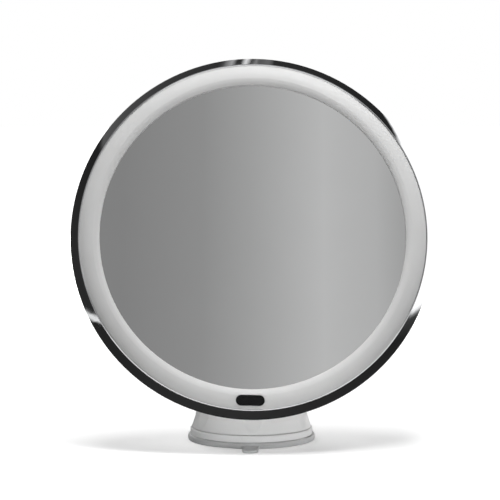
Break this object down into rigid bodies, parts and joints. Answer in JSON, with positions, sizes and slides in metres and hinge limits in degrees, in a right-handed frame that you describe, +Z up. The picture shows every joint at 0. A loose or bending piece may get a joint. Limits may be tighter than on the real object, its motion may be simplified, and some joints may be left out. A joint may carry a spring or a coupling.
{
  "type": "lighted suction cup mirror",
  "caption": "Round vanity mirror with a lit diffuser ring in a bright metal rim, on a tilting, swivelling neck and a twist-lock suction foot.",
  "frame": {"origin": "centre of the suction pad's underside, where the foot sits on the surface", "axes": "+Z up out of the surface, along the neck; -Y towards the person in front of the mirror; +X to their right"},
  "size_m": [0.2, 0.0964, 0.2148],
  "materials": {
    "rim_chrome": "polished chrome plating on a plastic rim",
    "opal": "opal white light diffuser, semi-gloss",
    "mirror_silver": "silvered mirror",
    "white_shell": "glossy white moulded plastic",
    "black_gloss": "glossy black",
    "clear_pad": "soft translucent suction pad",
    "steel": "plated steel",
    "board_green": "lacquered circuit board",
    "led_yellow": "light-emitting packages, off",
    "foam": "thin foam pad",
    "battery_wrap": "plain wrapped cell",
    "wire_red": "wire insulation",
    "washer_dark": "friction washer"
  },
  "bodies": {
    "base": {"suction_pad": "clear_pad", "base_core": "white_shell", "cap_retainer": "steel", "swivel_screw": "steel", "swivel_washer": "steel"},
    "twist": {"twist_cap": "white_shell", "cam_sleeve": "white_shell"},
    "stem": {"cup_stem": "white_shell", "stem_pin": "steel"},
    "neck": {"neck_arm": "white_shell", "neck_cover": "white_shell", "neck_screws": "steel", "neck_collar": "rim_chrome", "friction_washers": "washer_dark", "hinge_bolt": "steel", "hinge_nut": "steel", "hinge_caps": "rim_chrome"},
    "knuckle": {"tilt_knuckle": "white_shell", "roll_retainer": "steel", "retainer_screws": "steel", "roll_washer": "washer_dark"},
    "button": {"power_button": "black_gloss", "switch_plunger": "white_shell"},
    "door": {"battery_door": "white_shell"},
    "head": {"chrome_rim": "rim_chrome", "diffuser_ring": "opal", "led_board": "board_green", "leds": "led_yellow", "tact_switch": "black_gloss", "mirror_glass": "mirror_silver", "mirror_foam": "foam", "mirror_tray": "white_shell", "rear_housing": "white_shell", "housing_screws": "steel", "battery_box": "white_shell", "battery_springs": "steel", "battery_plates": "steel", "door_pins": "steel", "control_board": "board_green", "board_screws": "steel", "battery_leads": "wire_red", "led_lead": "wire_red", "battery_1": "battery_wrap", "battery_2": "battery_wrap", "battery_3": "battery_wrap", "battery_4": "battery_wrap"}
  },
  "joints": [
    {"name": "twist_lock", "type": "hinge", "parent": "base", "child": "twist", "pos_m": [0, 0, 0.0075], "axis": [0, 0, -1], "range_deg": [0, 80]},
    {"name": "stem_lift", "type": "slide", "parent": "base", "child": "stem", "axis": [0, 0, 1], "range_m": [0, 0.004]},
    {"name": "neck_swivel", "type": "hinge", "parent": "base", "child": "neck", "pos_m": [0, 0, 0.0254], "axis": [0, 0, 1], "continuous": true},
    {"name": "head_tilt", "type": "hinge", "parent": "neck", "child": "knuckle", "pos_m": [0, 0, 0.11007], "axis": [-1, 0, 0], "range_deg": [-3, 78]},
    {"name": "head_roll", "type": "hinge", "parent": "knuckle", "child": "head", "pos_m": [0, 0, 0.11007], "axis": [0, -0.9781, 0.2079], "continuous": true},
    {"name": "power_press", "type": "slide", "parent": "head", "child": "button", "axis": [0, 0.9781, -0.2079], "range_m": [0, 0.0007], "stiffness_N_per_m": 900, "springref_m": -0.0004},
    {"name": "door_swing", "type": "hinge", "parent": "head", "child": "door", "pos_m": [0.0015, 0.00046, 0.18295], "axis": [0.9998, -0.0044, -0.0205], "range_deg": [0, 85]}
  ],
  "couplings": [
    {"joint": "stem_lift", "follows": "twist_lock", "m_per_rad": 0.0028648}
  ]
}
